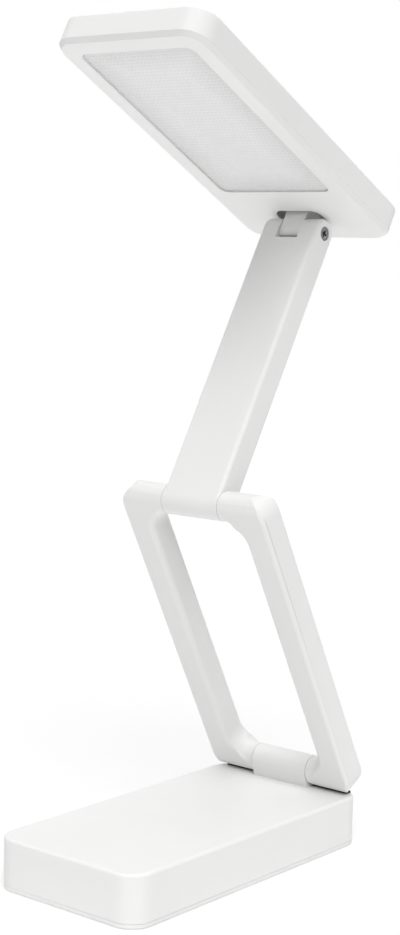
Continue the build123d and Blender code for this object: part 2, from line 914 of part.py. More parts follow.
def make_bracket_screws():
    """Two screws driven up through the bracket into the top shell."""
    screw = Rot(180, 0, 0) * countersunk_screw(bracket_screw_length)
    return [Pos(x, y, bracket_bottom()) * screw for x, y in bracket_screw_places()]


# Everything in its place


def build():
    """All nodes of the lamp by name, each one a solid or a list of solids in the lamp's frame."""
    nodes = {
        "base_housing": make_base_housing(),
        "base_plate": make_base_plate(),
        "rest_pad": make_rest_pad(),
        "knuckle_strips": make_knuckle_strips(),
        "plate_screws": make_plate_screws(),
        "ballast_plate": make_ballast_plate(),
        "battery_pack": make_battery_pack(),
        "charge_board": make_charge_board(),
        "charge_socket": make_charge_socket(),
        "power_switch": make_power_switch(),
        "power_button": make_power_button(),
        "base_lead": make_base_lead(),
        "lower_hinge_bushes": make_lower_hinge_bushes(),
    }
    right_body, right_cover = make_right_leg()
    in_frame = {
        "right_leg_body": right_body,
        "right_leg_cover": right_cover,
        "left_leg_body": mirror(right_body, about=Plane.YZ),
        "left_leg_cover": mirror(right_cover, about=Plane.YZ),
        "lower_hinge_shaft": hinge_shaft(0),
        "upper_hinge_shaft": hinge_shaft(frame_length),
        "leg_lead": make_leg_lead(),
    }
    in_arm = {
        "arm_shell": make_arm_shell(),
        "arm_back_cover": make_arm_back_cover(),
        "arm_cover_screws": make_arm_cover_screws(),
        "arm_lead": make_arm_lead(),
        "upper_hinge_bushes": flanged_bushes(),
        "head_pivot_screw": make_head_pivot_screw(),
        "head_pivot_nut": make_head_pivot_nut(),
        "head_pivot_washers": make_head_pivot_washers(),
    }
    in_head = {
        "head_shell": make_head_shell(),
        "head_bezel": make_head_bezel(),
        "diffuser": make_diffuser(),
        "reflector": make_reflector(),
        "light_board": make_light_board(),
        "light_chips": make_light_chips(),
        "head_bracket": make_head_bracket(),
        "bracket_screws": make_bracket_screws(),
    }
    for pose, group in ((frame_pose, in_frame), (arm_pose, in_arm), (head_pose, in_head)):
        for name, shape in group.items():
            if isinstance(shape, list):
                nodes[name] = [pose * solid for solid in shape]
            else:
                nodes[name] = pose * shape
    return nodes


os.makedirs("parts", exist_ok=True)
for name, shape in build().items():
    if isinstance(shape, list):
        shape = Compound([piece.solid() for piece in shape])
    export_step(shape, f"parts/{name}.step")
    print(name, "volume", round(shape.volume, 1))
print("lower axis", lower_axis_y, lower_axis_z)
print("upper axis", upper_axis_y, upper_axis_z)
print("head axis", head_axis_y, head_axis_z)
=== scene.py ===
import json
import math

import bmesh
import bpy
import numpy as np
from mathutils import Matrix, Vector


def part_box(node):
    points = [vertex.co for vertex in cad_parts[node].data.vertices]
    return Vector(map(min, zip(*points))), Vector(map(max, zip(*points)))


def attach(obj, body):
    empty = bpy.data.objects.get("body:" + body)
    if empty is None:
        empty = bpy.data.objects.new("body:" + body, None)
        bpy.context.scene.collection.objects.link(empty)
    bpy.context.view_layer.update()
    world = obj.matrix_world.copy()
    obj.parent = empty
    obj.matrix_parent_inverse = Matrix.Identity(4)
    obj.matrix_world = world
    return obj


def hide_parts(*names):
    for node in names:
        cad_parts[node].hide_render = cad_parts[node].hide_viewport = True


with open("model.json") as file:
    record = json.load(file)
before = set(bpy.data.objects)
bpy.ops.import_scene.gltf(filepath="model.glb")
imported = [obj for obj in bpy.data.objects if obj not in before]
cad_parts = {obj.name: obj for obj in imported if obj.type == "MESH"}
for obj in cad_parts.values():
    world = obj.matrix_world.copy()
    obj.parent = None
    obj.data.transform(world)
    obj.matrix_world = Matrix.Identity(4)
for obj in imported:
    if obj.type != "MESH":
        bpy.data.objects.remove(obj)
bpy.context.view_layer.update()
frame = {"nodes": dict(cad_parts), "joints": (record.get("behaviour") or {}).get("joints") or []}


# Base housing
# The upper half of the base slab with the hinge lug on its rear edge, moulded in white plastic.
# The mould is spark eroded, so the skin is satin, with a grain finer than a tenth of a millimetre.

shell_white = (0.870, 0.869, 0.864)
shell_roughness = 0.42
grain_per_metre = 3600.0
grain_detail = 2.0
grain_height = 0.000012
drift_per_metre = 26.0
drift_detail = 3.0
drift_tone = 0.985
drift_gloss = 0.05


def new_finish(name):
    """An empty material with a principled shader. Gives the material, its nodes, links and the shader."""
    material = bpy.data.materials.new(name)
    material.use_nodes = True
    nodes = material.node_tree.nodes
    return material, nodes, material.node_tree.links, nodes["Principled BSDF"]


def noise(nodes, links, per_metre, detail, offset=0.0):
    """A noise texture on the piece's own coordinates, in blobs of about one over per_metre."""
    place = nodes.new("ShaderNodeTexCoord")
    shift = nodes.new("ShaderNodeMapping")
    shift.inputs["Location"].default_value = (offset, offset, offset)
    texture = nodes.new("ShaderNodeTexNoise")
    texture.inputs["Scale"].default_value = per_metre
    texture.inputs["Detail"].default_value = detail
    links.new(place.outputs["Object"], shift.inputs["Vector"])
    links.new(shift.outputs["Vector"], texture.inputs["Vector"])
    return texture.outputs["Fac"]


def tones(nodes, links, factor, dark, light, start=0.3, end=0.7):
    """A colour that goes from dark to light as the factor goes from start to end."""
    ramp = nodes.new("ShaderNodeValToRGB")
    ramp.color_ramp.elements[0].position = start
    ramp.color_ramp.elements[1].position = end
    ramp.color_ramp.elements[0].color = (*dark, 1.0)
    ramp.color_ramp.elements[1].color = (*light, 1.0)
    links.new(factor, ramp.inputs["Fac"])
    return ramp.outputs["Color"]


def between(nodes, links, factor, low, high, start=0.0, end=1.0):
    """A number that goes from low to high as the factor goes from start to end."""
    spread = nodes.new("ShaderNodeMapRange")
    spread.inputs["From Min"].default_value = start
    spread.inputs["From Max"].default_value = end
    spread.inputs["To Min"].default_value = low
    spread.inputs["To Max"].default_value = high
    links.new(factor, spread.inputs["Value"])
    return spread.outputs["Result"]


def relief(nodes, links, shader, height, depth):
    """Bumps the shader's surface by a height from 0 to 1 times the depth in metres."""
    bump = nodes.new("ShaderNodeBump")
    bump.inputs["Strength"].default_value = 1.0
    bump.inputs["Distance"].default_value = depth
    links.new(height, bump.inputs["Height"])
    links.new(bump.outputs["Normal"], shader.inputs["Normal"])


def moulded_plastic(name, colour, roughness, grain, offset=0.0):
    """Satin moulded plastic: tone and gloss drift slowly and slightly, over a fine even grain.

    The offset shifts both patterns, so that neighbouring pieces don't share them.
    """
    material, nodes, links, shader = new_finish(name)
    drift = noise(nodes, links, drift_per_metre, drift_detail, offset)
    darker = tuple(drift_tone * channel for channel in colour)
    links.new(tones(nodes, links, drift, darker, colour), shader.inputs["Base Color"])
    gloss = between(nodes, links, drift, roughness + drift_gloss, roughness - drift_gloss)
    links.new(gloss, shader.inputs["Roughness"])
    relief(nodes, links, shader, noise(nodes, links, grain_per_metre, grain_detail, offset), grain)
    return material


def dress(finish, *names):
    """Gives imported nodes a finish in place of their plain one."""
    for name in names:
        frame["nodes"][name].material_slots[0].material = finish


base_plastic = moulded_plastic("base_plastic", shell_white, shell_roughness, grain_height)
dress(base_plastic, "base_housing")


# Base plate
# The flat bottom cover of the base, from the same plastic with a coarser grain than the housing.
# Four screws pull it up into the housing's bosses.

plate_roughness = 0.5
plate_grain = 2.5 * grain_height
plate_drift = 0.31
plate_plastic = moulded_plastic("plate_plastic", shell_white, plate_roughness, plate_grain, plate_drift)
dress(plate_plastic, "base_plate")


# Plate screws
# Four zinc plated countersunk screws with cross recesses, one in each corner of the base plate.
# Their heads lie flush with the plate's underside.

plate_screw_head = 0.0024
plate_screw_shank = 0.00125
screw_rings = 18
screw_sectors = 72
recess_half_span = 0.62
recess_half_width = 0.24
recess_slope = 0.06
recess_depth = 0.0011
merge_distance = 1e-7
zinc_dark = (0.50, 0.51, 0.54)
zinc_light = (0.66, 0.66, 0.67)
zinc_roughness = 0.34
zinc_marks_per_metre = 5200.0
blotch_per_metre = 900.0
blotch_detail = 3.0
blotch_gloss = 0.08
mark_detail = 2.0
mark_depth = 0.00001


def cross_screw(head, shank, length):
    """A countersunk screw turned about Z, its head's flat at Z = 0 and its tip at minus the length.

    Rings run from the middle of the head to its rim, down the cone and the shank to the tip. Within the
    head a point sinks by the recess depth where the lesser of |x| and |y| is under the slot's half width
    and the greater one under its half span, both as shares of the head's radius.
    """
    flat = np.linspace(0.0, 1.0, screw_rings)
    radius = np.concatenate([head * flat, [shank, shank, 0.0]])
    level = np.concatenate([0.0 * flat, [shank - head, -length, -length]])
    turn = np.linspace(0.0, 2.0 * np.pi, screw_sectors, endpoint=False)
    x = np.outer(radius, np.cos(turn))
    y = np.outer(radius, np.sin(turn))
    z = np.repeat(level[:, None], screw_sectors, axis=1)
    lesser = np.minimum(np.abs(x), np.abs(y)) / head
    greater = np.maximum(np.abs(x), np.abs(y)) / head
    across_slot = np.clip((recess_half_width - lesser) / recess_slope, 0.0, 1.0)
    along_slot = np.clip((recess_half_span - greater) / recess_slope, 0.0, 1.0)
    sunk = across_slot * along_slot
    z[:screw_rings] -= recess_depth * sunk[:screw_rings]
    return np.stack([x, y, z], axis=-1)


def tube_faces(rings, sectors):
    """Quads of a grid of rings that closes round on itself.

    They face out where the rings run from the inside to the outside, then down.
    """
    ring, sector = np.meshgrid(np.arange(rings - 1), np.arange(sectors), indexing="ij")
    after = (sector + 1) % sectors
    corners = [ring * sectors + sector, (ring + 1) * sectors + sector]
    corners += [(ring + 1) * sectors + after, ring * sectors + after]
    return np.stack(corners, axis=-1).reshape(-1, 4)


def new_piece(name, points, faces, finish):
    """A mesh object at the origin from points in metres and lists of corners."""
    mesh = bpy.data.meshes.new(name)
    corners = [list(map(int, face)) for face in faces]
    mesh.from_pydata(np.asarray(points).reshape(-1, 3).tolist(), [], corners)
    mesh.validate()
    mesh.materials.append(finish)
    piece = bpy.data.objects.new(name, mesh)
    bpy.context.scene.collection.objects.link(piece)
    return piece


def close_poles(piece):
    """Merges the doubled points of the two poles and turns every face outwards."""
    shape = bmesh.new()
    shape.from_mesh(piece.data)
    bmesh.ops.remove_doubles(shape, verts=shape.verts, dist=merge_distance)
    bmesh.ops.recalc_face_normals(shape, faces=shape.faces)
    shape.to_mesh(piece.data)
    shape.free()
    return piece


def plated_steel(name, dark, light, roughness, marks_per_metre):
    """Steel with a skin of its own: tone and gloss vary in blotches, over the fine marks of its making."""
    material, nodes, links, shader = new_finish(name)
    blotch = noise(nodes, links, blotch_per_metre, blotch_detail)
    links.new(tones(nodes, links, blotch, dark, light), shader.inputs["Base Color"])
    gloss = between(nodes, links, blotch, roughness + blotch_gloss, roughness - blotch_gloss)
    links.new(gloss, shader.inputs["Roughness"])
    shader.inputs["Metallic"].default_value = 1.0
    relief(nodes, links, shader, noise(nodes, links, marks_per_metre, mark_detail), mark_depth)
    return material


def turned(points, place, lean):
    """Points turned about X by a lean in radians, then moved to a place."""
    turn = np.array(Matrix.Rotation(lean, 3, "X"))
    return points @ turn.T + np.array(place)


zinc = plated_steel("zinc_plating", zinc_dark, zinc_light, zinc_roughness, zinc_marks_per_metre)
screws_low, screws_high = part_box("plate_screws")
plate_screw = cross_screw(plate_screw_head, plate_screw_shank, screws_high.z - screws_low.z)
screw_faces = tube_faces(len(plate_screw), screw_sectors)
plate_screw_x = screws_high.x - plate_screw_head
plate_screw_y = screws_high.y - plate_screw_head
plate_screw_places = [
    (side * plate_screw_x, end * plate_screw_y, screws_low.z)
    for side in (-1, 1)
    for end in (-1, 1)
]


def screw_set(name, node, body, screw, places, lean):
    """Like screws at several places as one piece, each turned over by the lean."""
    points = [turned(screw.reshape(-1, 3), place, lean) for place in places]
    step = len(points[0])
    faces = [screw_faces + number * step for number in range(len(places))]
    piece = close_poles(new_piece(name, np.concatenate(points), np.concatenate(faces), zinc))
    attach(piece, body)
    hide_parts(node)


screw_set("cross_plate_screws", "plate_screws", "base", plate_screw, plate_screw_places, math.pi)


# Rest pad
# A sheet of grey rubber bonded into a seat in the base plate, which the lamp stands on.
# It is matt, speckled by dust and pressed with a fine pebble pattern.

pad_dark = (0.30, 0.30, 0.30)
pad_light = (0.40, 0.40, 0.40)
pad_roughness = 0.85
pad_pebbles_per_metre = 900.0
pad_pebble_depth = 0.0002
speckle_per_metre = 1400.0
speckle_detail = 4.0
speckle_gloss = 0.1


def rubber(name, dark, light, roughness, pebbles_per_metre, pebble_depth):
    """Matt rubber: speckled tone over a pressed pebble pattern."""
    material, nodes, links, shader = new_finish(name)
    speckle = noise(nodes, links, speckle_per_metre, speckle_detail)
    links.new(tones(nodes, links, speckle, dark, light), shader.inputs["Base Color"])
    gloss = between(nodes, links, speckle, roughness, roughness - speckle_gloss)
    links.new(gloss, shader.inputs["Roughness"])
    place = nodes.new("ShaderNodeTexCoord")
    pebble = nodes.new("ShaderNodeTexVoronoi")
    pebble.inputs["Scale"].default_value = pebbles_per_metre
    links.new(place.outputs["Object"], pebble.inputs["Vector"])
    relief(nodes, links, shader, pebble.outputs["Distance"], pebble_depth)
    return material


pad_rubber = rubber(
    "pad_rubber", pad_dark, pad_light, pad_roughness, pad_pebbles_per_metre, pad_pebble_depth
)
dress(pad_rubber, "rest_pad")


# Knuckle strips
# Two rubber strips let into the top of the base, one on each side of the hinge lug, in the gap under the
# frame's round lower ends. Their black is painted shade, a dark sheet for the shadow in that gap.

# Painted shade: the strips' black stands for the shadow under the frame's lower ends.
shade_strip_dark = (0.012, 0.012, 0.013)
shade_strip_light = (0.030, 0.030, 0.031)
strip_roughness = 0.8
strip_pebbles_per_metre = 1600.0
strip_pebble_depth = 0.00008
shade_strip_rubber = rubber(
    "shade_strip_rubber", shade_strip_dark, shade_strip_light, strip_roughness, strip_pebbles_per_metre, strip_pebble_depth
)
dress(shade_strip_rubber, "knuckle_strips")


# Ballast plate
# A slab of hot rolled steel on two pegs of the base plate, which keeps the lamp from tipping.
# It has the blotched grey of mill scale.

scale_dark = (0.16, 0.16, 0.17)
scale_light = (0.34, 0.34, 0.36)
scale_roughness = 0.5
scale_marks_per_metre = 800.0
mill_scale = plated_steel("mill_scale", scale_dark, scale_light, scale_roughness, scale_marks_per_metre)
dress(mill_scale, "ballast_plate")


# Battery pack
# A flat rechargeable cell, bonded on the ballast.
# Its pouch is crinkled aluminium foil.

foil_dark = (0.52, 0.54, 0.58)
foil_light = (0.70, 0.72, 0.75)
foil_roughness = 0.32
foil_crinkles_per_metre = 240.0
pouch_foil = plated_steel("pouch_foil", foil_dark, foil_light, foil_roughness, foil_crinkles_per_metre)
dress(pouch_foil, "battery_pack")


# Charge board
# A glass fibre circuit board under green solder mask, on four posts behind the base's rear wall.
# Copper tracks show through the mask as lighter lines.

mask_green = (0.012, 0.085, 0.035)
track_green = (0.035, 0.19, 0.075)
mask_roughness = 0.28
green_tracks_per_metre = 260.0
track_share = 0.05
track_height = 0.00003


def solder_mask(name, ground, track, tracks_per_metre):
    """Glossy solder mask over straight tracks, drawn by the joints of a brick pattern."""
    material, nodes, links, shader = new_finish(name)
    place = nodes.new("ShaderNodeTexCoord")
    tracks = nodes.new("ShaderNodeTexBrick")
    tracks.inputs["Scale"].default_value = tracks_per_metre
    tracks.inputs["Mortar Size"].default_value = track_share
    links.new(place.outputs["Object"], tracks.inputs["Vector"])
    links.new(tones(nodes, links, tracks.outputs["Fac"], ground, track), shader.inputs["Base Color"])
    relief(nodes, links, shader, tracks.outputs["Fac"], track_height)
    shader.inputs["Roughness"].default_value = mask_roughness
    return material


dress(solder_mask("green_mask", mask_green, track_green, green_tracks_per_metre), "charge_board")


# Charging socket
# A folded and plated steel shell round a contact tongue.
# It is soldered on the board, and its mouth opens in the rear wall.

nickel_dark = (0.55, 0.54, 0.52)
nickel_light = (0.70, 0.69, 0.67)
nickel_roughness = 0.26
nickel_marks_per_metre = 4200.0
nickel = plated_steel("nickel_plating", nickel_dark, nickel_light, nickel_roughness, nickel_marks_per_metre)
dress(nickel, "charge_socket")


# Power switch
# A small black push switch, soldered on the board.
# Its plunger stands behind the power button.

switch_black = (0.028, 0.028, 0.03)
switch_roughness = 0.45
dress(moulded_plastic("switch_plastic", switch_black, switch_roughness, grain_height), "power_switch")


# Power button
# A round white cap in the rear wall, kept there by a flange behind the wall.
# It is moulded a shade glossier than the housing.

button_white = (0.835, 0.833, 0.828)
button_roughness = 0.3
button_grain = 0.5 * grain_height
button_drift = 0.17
button_plastic = moulded_plastic(
    "button_plastic", button_white, button_roughness, button_grain, button_drift
)
dress(button_plastic, "power_button")


# Leads
# White cables inside the base, the right leg and the arm, which feed the light in the head.
# Their sleeves are extruded, with a coarser grain than the mouldings.

lead_white = (0.72, 0.72, 0.71)
lead_roughness = 0.5
lead_grain = 2.0 * grain_height
lead_sleeve = moulded_plastic("lead_sleeve", lead_white, lead_roughness, lead_grain)
dress(lead_sleeve, "base_lead", "leg_lead", "arm_lead")


# Hinge bushes and shafts
# Ground steel tubes, gripped by the legs, turn in flanged bushes of natural white bearing plastic.
# The bushes are pressed into the base's lug and into the arm's knuckle.

bush_cream = (0.78, 0.765, 0.72)
bush_roughness = 0.38
ground_dark = (0.46, 0.46, 0.47)
ground_light = (0.60, 0.60, 0.61)
ground_roughness = 0.25
ground_marks_per_metre = 6400.0
bearing_plastic = moulded_plastic("bearing_plastic", bush_cream, bush_roughness, grain_height)
dress(bearing_plastic, "lower_hinge_bushes", "upper_hinge_bushes")
ground_steel = plated_steel(
    "ground_steel", ground_dark, ground_light, ground_roughness, ground_marks_per_metre
)
dress(ground_steel, "lower_hinge_shaft", "upper_hinge_shaft")


# Legs of the lower frame
# Each leg is a deep rear body and a thin front cover that snaps into it, both moulded in the housing's
# plastic. The seam between them shows on the leg's outer side as a fine grey line near the front edge.

leg_drift = 0.53
seam_grey = (0.66, 0.66, 0.655)
seam_half_width = 0.0004
seam_faint = 0.25
seam_tight_below = 0.5
seam_open_above = 0.7


def hinge_place(name):
    """A point on a joint's axis, in metres."""
    return np.array(next(joint["pos_m"] for joint in frame["joints"] if joint["name"] == name))


def own_points(node, place, lean):
    """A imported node's points as they stand round a place, with a turn about X by the lean undone."""
    flat = np.empty(3 * len(frame["nodes"][node].data.vertices))
    frame["nodes"][node].data.vertices.foreach_get("co", flat)
    turn = np.array(Matrix.Rotation(lean, 3, "X"))
    return (flat.reshape(-1, 3) - np.array(place)) @ turn


def lean_between(foot, top):
    """The turn about X, in radians, that lays an upright line along the line between two points."""
    return -math.atan2(top[1] - foot[1], top[2] - foot[2])


def height_over(nodes, links, place, lean, axis):
    """How far a point lies from a place along an axis turned about X by a lean, in metres."""
    point = nodes.new("ShaderNodeTexCoord")
    offset = nodes.new("ShaderNodeVectorMath")
    offset.operation = "SUBTRACT"
    offset.inputs[1].default_value = place
    height = nodes.new("ShaderNodeVectorMath")
    height.operation = "DOT_PRODUCT"
    height.inputs[1].default_value = Matrix.Rotation(lean, 3, "X") @ Vector(axis)
    links.new(point.outputs["Object"], offset.inputs[0])
    links.new(offset.outputs["Vector"], height.inputs[0])
    return height.outputs["Value"]


def distance_from(nodes, links, value, level):
    """How far a value lies from a level, on either side."""
    offset = nodes.new("ShaderNodeMath")
    offset.operation = "SUBTRACT"
    offset.inputs[1].default_value = level
    distance = nodes.new("ShaderNodeMath")
    distance.operation = "ABSOLUTE"
    links.new(value, offset.inputs[0])
    links.new(offset.outputs["Value"], distance.inputs[0])
    return distance.outputs["Value"]


def product(nodes, links, first, second):
    """Two factors multiplied."""
    times = nodes.new("ShaderNodeMath")
    times.operation = "MULTIPLY"
    links.new(first, times.inputs[0])
    links.new(second, times.inputs[1])
    return times.outputs["Value"]


def overlay(nodes, links, shader, factor, colour):
    """Lays a colour over the shader's own colour by a factor from 0 to 1."""
    blend = nodes.new("ShaderNodeMixRGB")
    blend.inputs["Color2"].default_value = (*colour, 1.0)
    links.new(factor, blend.inputs["Fac"])
    links.new(shader.inputs["Base Color"].links[0].from_socket, blend.inputs["Color1"])
    links.new(blend.outputs["Color"], shader.inputs["Base Color"])


def seamed_plastic(name, place, lean, depth, side, length):
    """The legs' plastic with a grey line along the seam plane, at a depth behind the hinge axes.

    The grey fades out as the distance from the plane reaches the line's half width, and as the distance
    from the legs' outer sides does: on the inner sides the mouldings close without a line. Up the leg's
    length it grows from faint, where the snaps hold the cover tight, to clear.
    """
    material = moulded_plastic(name, shell_white, shell_roughness, grain_height, leg_drift)
    nodes, links = material.node_tree.nodes, material.node_tree.links
    across = height_over(nodes, links, place, lean, (1.0, 0.0, 0.0))
    behind = height_over(nodes, links, place, lean, (0.0, 1.0, 0.0))
    up_leg = height_over(nodes, links, place, lean, (0.0, 0.0, 1.0))
    from_seam = distance_from(nodes, links, behind, depth)
    from_side = distance_from(nodes, links, distance_from(nodes, links, across, 0.0), side)
    line = between(nodes, links, from_seam, 1.0, 0.0, end=seam_half_width)
    outside = between(nodes, links, from_side, 1.0, 0.0, end=seam_half_width)
    tight, opened = seam_tight_below * length, seam_open_above * length
    clear = between(nodes, links, up_leg, seam_faint, 1.0, tight, opened)
    grey = product(nodes, links, product(nodes, links, line, outside), clear)
    overlay(nodes, links, nodes["Principled BSDF"], grey, seam_grey)
    return material


frame_foot = hinge_place("base_hinge")
frame_top = hinge_place("middle_hinge")
frame_lean = lean_between(frame_foot, frame_top)
frame_length = np.linalg.norm(frame_top - frame_foot)
right_leg = own_points("right_leg_body", frame_foot, frame_lean)
seam_depth = right_leg[:, 1].min()
leg_side = right_leg[:, 0].max()
leg_plastic = seamed_plastic("leg_plastic", frame_foot, frame_lean, seam_depth, leg_side, frame_length)
dress(leg_plastic, "left_leg_body", "right_leg_body", "left_leg_cover", "right_leg_cover")


# Upper arm
# The arm is one hollow moulding with a knuckle at its foot and a fork at its top, in the housing's plastic.
# A cover is let into its back, flush with it.

arm_drift = 0.71
arm_plastic = moulded_plastic("arm_plastic", shell_white, shell_roughness, grain_height, arm_drift)
dress(arm_plastic, "arm_shell", "arm_back_cover")


# Arm screws
# Two more of the small zinc plated screws, one near each end of the cover in the arm's back.
# They hold the cover, and their heads lie flush with it.

arm_lean = lean_between(frame_top, hinge_place("head_hinge"))
screw_points = own_points("arm_cover_screws", frame_top, arm_lean)
_, screw_tip, lowest = screw_points.min(axis=0)
_, screw_flat, highest = screw_points.max(axis=0)
arm_screw = cross_screw(plate_screw_head, plate_screw_shank, screw_flat - screw_tip)
arm_screw_places = [
    turned(np.array((0.0, screw_flat, height)), frame_top, arm_lean)
    for height in (lowest + plate_screw_head, highest - plate_screw_head)
]
arm_screw_lean = arm_lean - math.pi / 2
screw_set("cross_arm_screws", "arm_cover_screws", "upper_arm", arm_screw, arm_screw_places, arm_screw_lean)


# Head pivot
# The head turns on a blackened screw sunk in the arm's right ear, with a nut in the left ear
# and dark friction washers on both sides of the head's lug.

oxide_dark = (0.16, 0.16, 0.165)
oxide_light = (0.34, 0.34, 0.345)
oxide_roughness = 0.42
oxide_marks_per_metre = 3000.0
washer_black = (0.05, 0.05, 0.05)
washer_roughness = 0.55
black_oxide = plated_steel("black_oxide", oxide_dark, oxide_light, oxide_roughness, oxide_marks_per_metre)
dress(black_oxide, "head_pivot_screw", "head_pivot_nut")
dress(moulded_plastic("washer_plastic", washer_black, washer_roughness, grain_height), "head_pivot_washers")


# Light head
# A flat top cover over a bevelled bezel, in the housing's plastic. The lug of a bracket inside comes down
# through the bezel's hinge pocket into the arm's fork. The pocket's inside is greyed with painted shade.

head_drift = 0.87
bracket_drift = 0.23
bracket_roughness = 0.46
pocket_shade_grey = (0.42, 0.42, 0.415)
pocket_reach = 0.0195
pocket_fade = 0.001
pocket_edge = 0.0006


def lean_of(node):
    """The turn about X, in radians, of a flat node: the main axis of its points in the YZ plane."""
    (yy, yz), (_, zz) = np.cov(own_points(node, (0.0, 0.0, 0.0), 0.0)[:, 1:].T)
    return 0.5 * math.atan2(2.0 * yz, yy - zz)


def shaded_pocket_plastic(name, place, lean, underside):
    """The head's plastic with painted shade in the hinge pocket: grey near the hinge and above the head's
    underside.
    """
    material = moulded_plastic(name, shell_white, shell_roughness, grain_height, head_drift)
    nodes, links = material.node_tree.nodes, material.node_tree.links
    height = height_over(nodes, links, place, lean, (0.0, 0.0, 1.0))
    inside = between(nodes, links, height, 0.0, 1.0, underside, underside + pocket_edge)
    point = nodes.new("ShaderNodeTexCoord")
    away = nodes.new("ShaderNodeVectorMath")
    away.operation = "DISTANCE"
    away.inputs[1].default_value = place
    links.new(point.outputs["Object"], away.inputs[0])
    near = between(nodes, links, away.outputs["Value"], 1.0, 0.0, pocket_reach, pocket_reach + pocket_fade)
    # Painted shade: grey laid over the plastic inside the hinge pocket.
    overlay(nodes, links, nodes["Principled BSDF"], product(nodes, links, inside, near), pocket_shade_grey)
    return material


head_lean = lean_of("light_board")
head_hinge = hinge_place("head_hinge")
head_underside = own_points("head_bezel", head_hinge, head_lean)[:, 2].min()
bezel_plastic = shaded_pocket_plastic("bezel_plastic", head_hinge, head_lean, head_underside)
head_plastic = moulded_plastic("head_plastic", shell_white, shell_roughness, grain_height, head_drift)
bracket_plastic = moulded_plastic(
    "bracket_plastic", shell_white, bracket_roughness, grain_height, bracket_drift
)
dress(bezel_plastic, "head_bezel")
dress(head_plastic, "head_shell")
dress(bracket_plastic, "head_bracket")
dress(zinc, "bracket_screws")


# Diffuser
# A sheet of milky acrylic whose face is pressed into rows of tiny pyramids, which hide the light chips.
# It fills the bezel's window but for a hair, and its flange rests on the bezel from inside.

prism_columns = 28
prism_rows = 50
prism_height = 0.00034
# How far the sheet stands past its solid's outline, which closes the gap round it to a hair.
edge_fill = 0.00016
sheet_bright = (0.823, 0.823, 0.823)
sheet_dim = (0.688, 0.688, 0.688)
# Within this depth of the sheet's edges its colour dims: painted shade.
sheet_shade_depth = 0.016
sheet_shade_curve = 0.6
sheet_smooth = 0.32
sheet_rough = 0.44
cloud_per_metre = 700.0
cloud_detail = 2.0
level_decimals = 5
outline_edge = 1e-5


def rounded_span(y, width, length, corner):
    """Half the width of a rectangle with rounded corners at a distance y from its middle.

    It is half the width, less what the corner's arc takes away: r - sqrt(r^2 - d^2) where d is how far y
    reaches into the corner.
    """
    reach = np.clip(np.abs(y) - (length / 2 - corner), 0.0, corner)
    return width / 2 - (corner - np.sqrt(corner**2 - reach**2))


def sheet_grid(width, length, corner):
    """The sheet's outline filled by a grid: x is a share of the half width at that y."""
    across = np.linspace(-1.0, 1.0, 2 * prism_columns + 1)
    along = np.linspace(-length / 2, length / 2, 2 * prism_rows + 1)
    y = np.repeat(along[:, None], len(across), axis=1)
    x = across[None, :] * rounded_span(y, width, length, corner)
    return x, y


def prism_face(width, length, corner, level):
    """The sheet's face: a grid at a level, from which the points of odd row and odd column stand out."""
    x, y = sheet_grid(width, length, corner)
    row, column = np.indices(x.shape)
    peaks = (row % 2) * (column % 2)
    return np.stack([x, y, level - prism_height * peaks], axis=-1)


def rim(grid):
    """The outer points of a grid in order round it."""
    return np.concatenate([grid[0, :-1], grid[:-1, -1], grid[-1, :0:-1], grid[:0:-1, 0]])


def flat_rim(width, length, corner, level):
    """The outer points of the sheet's outline at a level, in order round it."""
    x, y = sheet_grid(width, length, corner)
    return rim(np.stack([x, y, np.full_like(x, level)], axis=-1))


def prism_faces(number):
    """Triangles of a grid of numbered points, each cell split along the diagonal through its peak."""
    near_left, near_right = number[:-1, :-1], number[:-1, 1:]
    far_left, far_right = number[1:, :-1], number[1:, 1:]
    row, column = np.indices(near_left.shape)
    even = ((row + column) % 2 == 0)[..., None]
    first = np.where(
        even,
        np.stack([near_left, far_right, near_right], axis=-1),
        np.stack([near_left, far_left, near_right], axis=-1),
    )
    second = np.where(
        even,
        np.stack([near_left, far_left, far_right], axis=-1),
        np.stack([near_right, far_left, far_right], axis=-1),
    )
    return np.concatenate([first.reshape(-1, 3), second.reshape(-1, 3)])


def milky_acrylic_with_shade(name):
    """Milky acrylic with painted shade: its colour dims near the sheet's edges, where less light comes back
    out of the box behind it.
    """
    material, nodes, links, shader = new_finish(name)
    depth = nodes.new("ShaderNodeAttribute")
    depth.attribute_name = "edge_shade_share"
    colour = tones(nodes, links, depth.outputs["Fac"], sheet_dim, sheet_bright, start=0.0, end=1.0)
    links.new(colour, shader.inputs["Base Color"])
    cloud = noise(nodes, links, cloud_per_metre, cloud_detail)
    links.new(between(nodes, links, cloud, sheet_smooth, sheet_rough), shader.inputs["Roughness"])
    return material


packed_sheet = own_points("diffuser", head_hinge, head_lean)
sheet_face, sheet_ledge, sheet_back = np.unique(packed_sheet[:, 2].round(level_decimals))
face_outline = packed_sheet[packed_sheet[:, 2] < (sheet_face + sheet_ledge) / 2]
face_x, face_y = face_outline[:, 0], face_outline[:, 1]
sheet_width = np.ptp(face_x) + 2 * edge_fill
sheet_length = np.ptp(face_y) + 2 * edge_fill
sheet_middle = (face_y.min() + face_y.max()) / 2
sheet_corner = sheet_width / 2 - face_x[face_y > face_y.max() - outline_edge].max()
flange_width = (np.ptp(packed_sheet[:, 0]) - sheet_width) / 2
sheet_outline = (sheet_width, sheet_length, sheet_corner)
flange_outline = (
    sheet_width + 2 * flange_width,
    sheet_length + 2 * flange_width,
    sheet_corner + flange_width,
)

